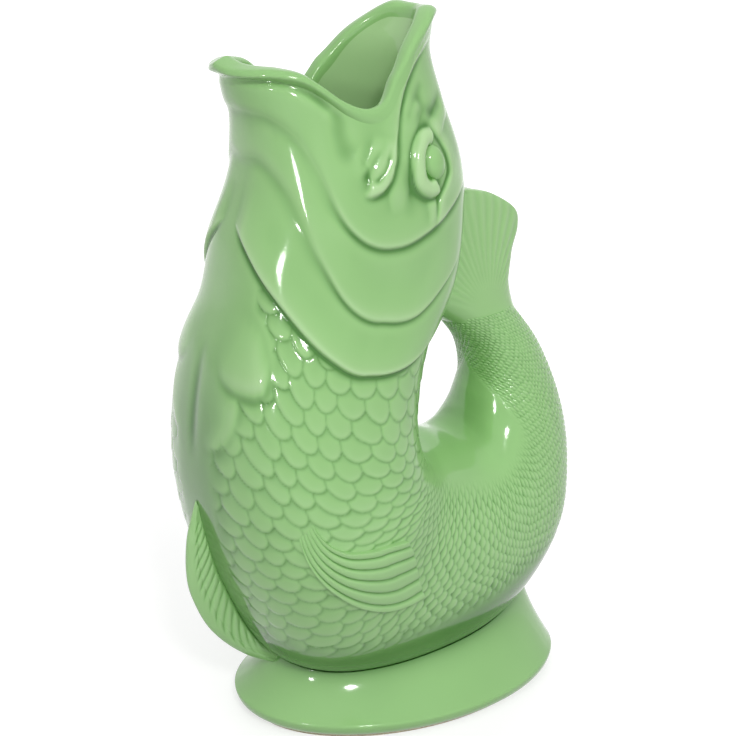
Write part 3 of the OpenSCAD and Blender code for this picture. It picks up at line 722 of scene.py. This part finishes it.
def skin_piece(name, part, node):
    """One closed wall between two breaks of the grid, and from the last row back inside."""
    first, last = breaks[part], breaks[part + 1]
    inside = inner_wall(stations[last], stations[first])
    rings = np.concatenate([outside[first:last + 1], inside])
    pool_and_painted_light = np.concatenate([pooled_and_shaded[first:last + 1], np.full(inside.shape[:2], INSIDE_PAINTED_LIGHT)])
    count = last - first + 1
    piece(name, rings, glaze, pool_and_painted_light=pool_and_painted_light, sharp=(0, count - 1, count, len(rings) - 1), node=node)


# %% The pieces of the skin
SKIN_PIECES = [
    ("face", ("head", "jaw_flap_left", "jaw_flap_right", "eyelid_left", "eyelid_right")),
    ("cheek_plates", ("cheek_plate_left", "cheek_plate_right")),
    ("gill_covers", ("gill_cover_left", "gill_cover_right")),
    ("breast", ("belly", "pectoral_fin_left", "pectoral_fin_right")),
    ("belly_flanks", ("belly",)), ("belly_floor", ("belly",)), ("belly_back", ("belly",)),
    ("tail_lower", ("tail_handle",))]
for part, (name, node) in enumerate(SKIN_PIECES):
    skin_piece(name, part, node)

# %% The tail's upper end, closed at its tip
CAP_TURNS, INNER_END = [20, 40, 60, 75], 17.4
first, last = breaks[8], breaks[9]
tip = (skin(LAST, 0) + skin(LAST, 180)) / 2
cap = tip + (outside[last] - tip) * np.cos(np.radians(CAP_TURNS))[:, None, None]
inside = inner_wall(stations[first], INNER_END)
rings = np.concatenate([cap[::-1], outside[first:last + 1][::-1], inside])
edge_ring = len(cap) + last - first
pool_and_painted_light = np.zeros(rings.shape[:2])
pool_and_painted_light[len(cap):edge_ring + 1] = pooled_and_shaded[first:last + 1][::-1]
piece("tail_upper", rings, glaze, poles=[tip, inside[-1].mean(0)], pool_and_painted_light=pool_and_painted_light,
      sharp=(edge_ring, edge_ring + 1), node=("tail_handle",))

# %% [markdown]
# ## The rolled lip
# The rim is thickened and turned outwards, so that it pours cleanly and does not chip. A round
# bevel on a curve could make a bead, but not one that is thick at the spout and thin at the
# corners. So it is one section carried round the mouth, whose sizes follow the angle.

# %% Carry the lip's section round the mouth
LIP_ROLL = [2.4, 2.5, 2.7, 2.6, 2.1, 1.3, 0.7, 0.8, 1.2, 1.7, 2.0, 2.0, 2.0]
LIP_UPWARD = np.array([0, 0.9, 2.2, 3.5, 4.7, 5.0, 4.7, 3.6, 1.8, 0])
LIP_INWARD = (-1.6, -3.4, -4.6, -5.0, -WALL)
LIP_RINGS = 46
start = height[0]
roll = np.maximum(at_angle(LIP_ROLL, angles), start)
round_top = 0.2 + 0.35 * (1 - fade(angles, 60, 100))
outward = [start, start + 0.55 * (roll - start), roll, 0.95 * roll, round_top * roll]
outward += [np.full(HALF, size) for size in LIP_INWARD]
upward = np.broadcast_to(LIP_UPWARD[:, None], (len(LIP_UPWARD), HALF))
section = np.stack([np.stack(outward), upward], -1).reshape(len(LIP_UPWARD), -1)
smooth = curve(section, np.linspace(0, len(section) - 1, LIP_RINGS)).reshape(LIP_RINGS, HALF, 2)
tall = 0.8 + 0.2 * fade(angles, 15, 60)
down = mouth(angles)
lip = skin(down, angles) + smooth[..., :1] * skin_normal(down, angles)
lip = lip - smooth[..., 1:] * tall[:, None] * unit(skin_run(down, angles))
piece("rolled_lip", whole(lip), glaze, sharp=(0, LIP_RINGS - 1), node=("lip_rim",))

# %% [markdown]
# ## The eyes
# Each eye is a plain rounded button in its socket, half sunk in the cheek. A scaled sphere would
# do, but an object has to stay unscaled here, so the ellipsoid is worked out in its place.

# %% Two eyeballs
EYE_PLACE, EYE_SUNK, HALF_LENGTH, HALF_HEIGHT = (2.82, 111.8), 1.9, 6.3, 4.9
EYE_OUTSIDE, EYE_INSIDE = 4.2, 2.3


def eyeball(side):
    """An ellipsoid: rings of points from the pole that looks out to the pole inside. Its inner half
    is flatter, so that it ends within the wall and does not show in the mouth."""
    run, turn, face = unit(skin_run(*EYE_PLACE)), unit(skin_turn(*EYE_PLACE)), skin_normal(*EYE_PLACE)
    middle = skin(*EYE_PLACE) - EYE_SUNK * face
    polar = np.radians(np.linspace(6, 174, 31))[:, None, None]
    spin = np.radians(np.arange(64) * 360 / 64)[None, :, None]
    level = np.cos(polar) * np.where(np.cos(polar) > 0, EYE_OUTSIDE, EYE_INSIDE)
    flat = HALF_LENGTH * np.cos(spin) * run + HALF_HEIGHT * np.sin(spin) * turn
    rings = middle + np.sin(polar) * flat + level * face
    ends = np.array([middle + EYE_OUTSIDE * face, middle - EYE_INSIDE * face])
    return rings * [1, side, 1], ends * [1, side, 1]


SIDES = (("left", 1), ("right", -1))
for hand, side in SIDES:
    rings, ends = eyeball(side)
    piece("eyeball_" + hand, rings, glaze, poles=ends, node=("eye_" + hand,))

# %% [markdown]
# ## The ventral fins
# The hind fins are fans of five or six thick rays, pressed on the flanks. Each ray could be a bent
# tube, but they flow into one another, so a fan is a sheet between an upper and a lower edge drawn
# on the skin. Its rays swell across it, and its borders dive into the belly so that no underside
# shows.

# %% A fan with rays
FAN_EDGES = np.array([[7.68, 64.0, 7.78, 57.0], [8.15, 70.6, 8.46, 59.6], [8.42, 78.2, 9.12, 67.4],
                      [8.62, 87.0, 9.80, 79.2], [8.98, 100.0, 10.44, 89.5]])
FAN_RAYS, RAY_BOW, FAN_POINTS = 5.4, 4.0, 190
FAN_RISE, FAN_SWELL, FAN_SINK, FAN_BOTTOM = 0.3, 1.15, -1.2, -2.5


def fan(side):
    """Height over the skin: a slow rise from the hub to the tips, times ribs that are flat on top
    and fall by a power to a narrow groove; at every border it falls to below the skin."""
    s, v = np.linspace(0, 1, FAN_POINTS)[:, None], np.linspace(0, 1, FAN_POINTS)[None]
    edges = curve(FAN_EDGES, (len(FAN_EDGES) - 1) * s[:, 0])[:, None, :]
    station = edges[..., 0] + (edges[..., 2] - edges[..., 0]) * v
    angle = edges[..., 1] + (edges[..., 3] - edges[..., 1]) * v
    angle = angle + RAY_BOW * s ** 4 * np.sin(np.pi * v ** 0.9)
    rib = 1 - np.abs(2 * ((FAN_RAYS * v + 0.25) % 1) - 1) ** 3
    tops = (FAN_RISE + FAN_SWELL * fade(s, 0, 0.6)) * (0.4 + 0.6 * rib)
    border = between_ends(v, 0.03) * fade(s, 0, 0.16) * fade(1 - s, 0, 0.012)
    top = raised(station, angle, FAN_SINK + (tops - FAN_SINK) * border)
    bottom = raised(station, angle, FAN_BOTTOM)
    pool_and_painted_light = np.clip(1.3 * (0.6 - rib), -0.25, 1) * fade(s, 0.1, 0.4)
    rings = np.concatenate([top, bottom[:, ::-1]], 1) * [1, side, 1]
    return rings, np.concatenate([pool_and_painted_light, 0 * pool_and_painted_light], 1)


for hand, side in SIDES:
    rings, pool_and_painted_light = fan(side)
    piece("fan_fin_" + hand, rings, glaze, poles=[rings[0].mean(0), rings[-1].mean(0)], pool_and_painted_light=pool_and_painted_light,
          node=("ventral_fin_" + hand,))

# %% [markdown]
# ## The fins in the middle
# The tail fin opens like a fan behind the head, and the anal fin stands along the belly's front
# edge. An outline pushed out to a slab would have hard rims, so both are blades: a rounded
# section from a seat on the skin to a free edge, with rays.

# %% A blade between a seat and a free edge
BLADE_RINGS = 220
u = np.linspace(0, 1, BLADE_RINGS)


def middle_points(shares):
    """Points of the middle plane from shares of the length and of the figure's height."""
    along, upward = np.moveaxis(np.asarray(shares), -1, 0)
    return np.stack([along * JUG_LENGTH, 0 * along, BELLY_LIFT + upward * FIGURE], -1)


def blade(seat, edge, seat_half, edge_half, points, power=0.6):
    """Each ring goes from the seat to the edge and back: along by a cosine, and out to the side by
    a sine to a power, times half the thickness. The power 1 gives an ellipse, and less a box."""
    turn = np.radians(np.arange(points) * 360 / points)
    along, side = (1 - np.cos(turn)) / 2, np.sign(np.sin(turn)) * np.abs(np.sin(turn)) ** power
    half = seat_half[:, None] + (edge_half - seat_half)[:, None] * along
    rings = seat[:, None] + (edge - seat)[:, None] * along[None, :, None]
    rings[..., 1] -= half * side
    return rings, np.broadcast_to(along, half.shape), np.broadcast_to(side, half.shape)


# %% The anal fin
ANAL_EDGE = [[-0.531, 0.318], [-0.554, 0.262], [-0.5595, 0.205], [-0.546, 0.160], [-0.502, 0.102],
             [-0.420, 0.050], [-0.305, 0.010]]
ANAL_START, ANAL_END, ANAL_SINK = LAST * 0.455, LAST * 0.566, -0.8
ANAL_SEAT_HALF, ANAL_EDGE_HALF, BARBS, BARB_SLANT, BARB_RISE, EDGE_SWELL = 3.6, 1.8, 16, 4.0, 0.4, 0.25
seat = raised(ANAL_START + (ANAL_END - ANAL_START) * u, 0, ANAL_SINK)
edge = middle_points(curve(ANAL_EDGE, (len(ANAL_EDGE) - 1) * u))
slim = 0.3 + 0.7 * fade(u, 0, 0.2)
rings, along, side = blade(seat, edge, ANAL_SEAT_HALF * slim, ANAL_EDGE_HALF * slim, 200)
barbs = np.abs(np.sin(np.pi * (BARBS * u[:, None] - BARB_SLANT * along)))
flat = fade(along, 0.05, 0.25) * (1 - fade(along, 0.6, 0.85))
flat = flat * (fade(u, 0.02, 0.12) * fade(1 - u, 0.1, 0.25))[:, None]
rings[..., 1] += np.sign(side) * (1 - barbs) * flat * BARB_RISE
rings[..., 1] *= 1 + EDGE_SWELL * np.sin(np.pi * np.clip((along - 0.6) / 0.4, 0, 1))
pool_and_painted_light = np.clip(0.5 * (0.7 - barbs) * flat - 0.25 + 0.8 * bell(along, 0.12), -0.4, 1)
piece("anal_blade", rings, glaze, poles=[rings[0].mean(0), rings[-1].mean(0)], pool_and_painted_light=pool_and_painted_light,
      node=("anal_fin",))

# %% The tail fin
TAIL_EDGE = [[0.303, 0.553], [0.298, 0.585], [0.306, 0.625], [0.325, 0.662], [0.316, 0.690],
             [0.250, 0.717], [0.190, 0.728]]
TAIL_SEAT = LAST * np.array([0.316, 0.308, 0.284, 0.256, 0.232, 0.219, 0.213])
TAIL_JOIN, TAIL_GAP, FIN_HALF, TIP_HALF = LAST - 0.12, 0.25, 3.5, SECTIONS[-1, 4]
RAY_HUB, TAIL_RAYS, TAIL_RAY_RISE = [32.0, 142.0], 10.8, 0.2
seat = raised(curve(TAIL_SEAT, (len(TAIL_SEAT) - 1) * u), 180.0, TAIL_GAP)
edge = middle_points(curve(TAIL_EDGE, (len(TAIL_EDGE) - 1) * u))
low_seat, low_edge = skin(TAIL_JOIN, 180), skin(TAIL_JOIN, 0)
join = fade(u, 0, 0.16)[:, None]
seat, edge = low_seat + (seat - low_seat) * join, low_edge + (edge - low_edge) * join
half = FIN_HALF + (TIP_HALF - FIN_HALF) * (1 - u) ** 2.4
rings, along, side = blade(seat, edge, half, half, 220, 1 - 0.4 * fade(u, 0, 0.3)[:, None])
from_hub = rings[..., [0, 2]] - RAY_HUB
rays = np.cos(2 * np.pi * TAIL_RAYS * np.sin(0.9 * np.arctan2(from_hub[..., 0], from_hub[..., 1])))
show = fade(np.linalg.norm(from_hub, axis=-1), 5, 14) * fade(along, 0.01, 0.05)
show = show * (1 - fade(along, 0.88, 0.98)) * (fade(u, 0.05, 0.2) * fade(1 - u, 0, 0.12))[:, None]
rings[..., 1] += np.sign(side) * (1 - rays) * show * TAIL_RAY_RISE
pool_and_painted_light = np.clip(-0.25 - 0.15 * rays * show, -0.4, 0.3)
piece("tail_fan", rings, glaze, poles=[rings[0].mean(0), rings[-1].mean(0)], pool_and_painted_light=pool_and_painted_light, node=("tail_fin",))

# %% [markdown]
# ## The plinth and its foot
# The fish stands on an oval plinth that flares from the crease under the belly to a rounded lower
# edge. A stretched cone would meet the belly in a wavy cut, so its rings start on the crease
# itself, as in the solid, and turn step by step into the oval.

# %% Rings of the plinth
PLINTH_LENGTH, PLINTH_WIDTH, EDGE_HEIGHT, EDGE_INSET = 129.5, 90.5, 7.0, 5.0
FOOT_HEIGHT, FOOT_WIDTH, SEAM, FLARE, SHADE_BELOW_CREASE_RINGS = 1.5, 7.0, 0.25, 1.5, 5.0
SEAT_SHARES, PLINTH_POINTS, FLANK_RINGS, EDGE_RINGS = (0.3, 0.6, 0.85, 0.97), 240, 40, 13
turns = np.radians(np.arange(PLINTH_POINTS) * 360 / PLINTH_POINTS)


def oval(inset, level):
    """An ellipse of the plinth's size, drawn in by the inset, at a level."""
    along, aside = (PLINTH_LENGTH / 2 - inset) * np.cos(turns), (PLINTH_WIDTH / 2 - inset) * np.sin(turns)
    return np.stack([along, aside, np.full(PLINTH_POINTS, level)], -1)


def crease_ring(reach):
    """The ring on the belly at a share of the way from the middle of the seat to the crease."""
    station = CREASE_MIDDLE + CREASE_REACH * reach * np.cos(turns)
    return raised(station, -CREASE_ANGLE * reach * np.sin(turns), SEAM)


# %% The plinth
seat = [crease_ring(share) for share in SEAT_SHARES]
top, base = crease_ring(1), oval(0, EDGE_HEIGHT)
flank = [top + (base - top) * np.array([share ** FLARE, share ** FLARE, share])
         for share in np.linspace(0, 1, FLANK_RINGS)]
underside = FOOT_HEIGHT + SEAM
rim = [oval(EDGE_INSET * (1 - np.cos(turned)), EDGE_HEIGHT + (underside - EDGE_HEIGHT) * np.sin(turned))
       for turned in np.radians(np.linspace(0, 90, EDGE_RINGS)[1:])]
rings = np.stack(seat + flank + rim)
pool_and_painted_light = np.zeros(rings.shape[:2])
# Painted shade: the flank is painted darker just below the crease, fading over a few rings.
shade_below_crease = CREASE_SHADE * np.exp(-np.arange(FLANK_RINGS + 1) / SHADE_BELOW_CREASE_RINGS)
pool_and_painted_light[len(seat):len(seat) + len(shade_below_crease)] = shade_below_crease[:, None]
piece("oval_plinth", rings, glaze, poles=[crease_ring(0)[0], [0, 0, underside]], pool_and_painted_light=pool_and_painted_light, node=("plinth",))

# %% The dry foot ring
FOOT_ROUND = 0.4
FOOT_INSIDE = EDGE_INSET + FOOT_WIDTH
profile = [(EDGE_INSET + FOOT_ROUND, 0), (EDGE_INSET, FOOT_ROUND), (EDGE_INSET, FOOT_HEIGHT),
           (FOOT_INSIDE, FOOT_HEIGHT), (FOOT_INSIDE, FOOT_ROUND), (FOOT_INSIDE - FOOT_ROUND, 0)]
rings = np.stack([oval(inset, level) for inset, level in profile])
piece("dry_foot", rings, clay, sharp=range(len(profile)), node=("foot_ring",))

# %% [markdown]
# ## The studio
# The jug was photographed on white under soft light with a few small bright lamps, whose sharp
# glints the glaze shows. A world bright enough to look white would bleach the glaze. So floor and
# world are white only for camera, glossy and transmission rays, which show the background, and
# light the jug faintly beside the lamps. The camera stands where its matched view puts it.

# %% Floor and backdrop
WHITE, FLOOR_GREY, FLOOR_HALF = (1, 1, 1, 1), "#B4B4B4", 8.0


def background_rays(tree):
    """1 for the rays that show the background as it is, and 0 for those that light the jug."""
    path = add_node(tree, "LightPath")
    rays = path.outputs["Is Camera Ray"]
    for kind in ("Is Glossy Ray", "Is Transmission Ray"):
        rays = add_node(tree, "Math", {0: rays, 1: path.outputs[kind]}, operation="MAXIMUM")
    return rays


floor_mesh = bpy.data.meshes.new("floor")
corners = [(x * FLOOR_HALF, y * FLOOR_HALF, 0) for x, y in ((-1, -1), (1, -1), (1, 1), (-1, 1))]
floor_mesh.from_pydata(corners, [], [(0, 1, 2, 3)])
floor = add_object("floor", floor_mesh)

# %% The floor's white paper
# Matt paper without a pattern. It glows less within 0.15 m of the jug, so that its shadow shows,
# and fully from 1.2 m on, where floor and world are the same white.
paper = new_material("white_paper_sweep")
tree = paper.node_tree
place = add_node(tree, "TexCoord").outputs["Object"]
away = add_node(tree, "VectorMath", {0: place}, operation="LENGTH").outputs["Value"]
even = add_node(tree, "MapRange", {
    "Value": away, "From Min": 0.15, "From Max": 1.2, "To Min": 0.66, "To Max": 1.0})
glow = add_node(tree, "Math", {0: background_rays(tree), 1: even}, operation="MULTIPLY")
diffuse = add_node(tree, "BsdfDiffuse", {"Color": linear(FLOOR_GREY)})
back = add_node(tree, "Emission", {"Color": WHITE, "Strength": glow})
both = add_node(tree, "AddShader", {0: diffuse, 1: back})
add_node(tree, "OutputMaterial", {"Surface": both})
floor_mesh.materials.append(paper)
print("floor:", 2 * FLOOR_HALF, "m wide")

# %% World
world = bpy.data.worlds.new("studio")
bpy.context.scene.world = world
world.use_nodes = True
tree = world.node_tree
tree.nodes.clear()
strength = add_node(tree, "MapRange", {"Value": background_rays(tree), "To Min": 0.32, "To Max": 1.0})
light = add_node(tree, "Background", {"Color": WHITE, "Strength": strength})
add_node(tree, "OutputWorld", {"Surface": light})


# %% Lamps
TARGET = Vector((-0.0126, 0.0, 0.1253))


def lamp(name, azimuth, elevation, distance, size, watts, glints):
    """A round soft box that looks at the jug. The azimuth is in degrees from the fish's left side
    (-Y) towards its back (+X). Without glints the gloss does not show it, as with light from walls."""
    data = bpy.data.lights.new(name, "AREA")
    data.shape, data.size, data.energy = "DISK", size, watts
    thing = add_object(name, data)
    thing.visible_glossy = glints
    side, rise = np.radians([azimuth, elevation])
    away = Vector((np.sin(side) * np.cos(rise), -np.cos(side) * np.cos(rise), np.sin(rise)))
    thing.location = TARGET + distance * away
    thing.rotation_euler = (-away).to_track_quat("-Z", "Y").to_euler()


# Each row: name, azimuth and elevation in degrees, distance and size in m, watts, glints
LAMPS = [
    ("key_softbox", -60, 16, 1.8, 0.17, 4.5, True), ("second_softbox", -18, 34, 1.8, 0.22, 9, True),
    ("side_fill", 30, 30, 2.4, 1.4, 6, False), ("front_fill", -20, 50, 2.6, 2.4, 22, False),
    ("back_fill", 150, 40, 2.6, 2.4, 26, False)]
for settings in LAMPS:
    lamp(*settings)

# %% Camera
CAMERA_PLACE, LENS, SENSOR_WIDTH = Vector((-0.2813, -0.4654, 0.3030)), 78.0, 36.0
camera = add_object("camera", bpy.data.cameras.new("camera"))
camera.data.lens, camera.data.sensor_width = LENS, SENSOR_WIDTH
camera.location = CAMERA_PLACE
camera.rotation_euler = (TARGET - CAMERA_PLACE).to_track_quat("-Z", "Y").to_euler()
bpy.context.scene.camera = camera
bpy.context.scene.view_settings.view_transform = "Standard"
print("camera:", round((TARGET - CAMERA_PLACE).length, 3), "m from the jug's middle")
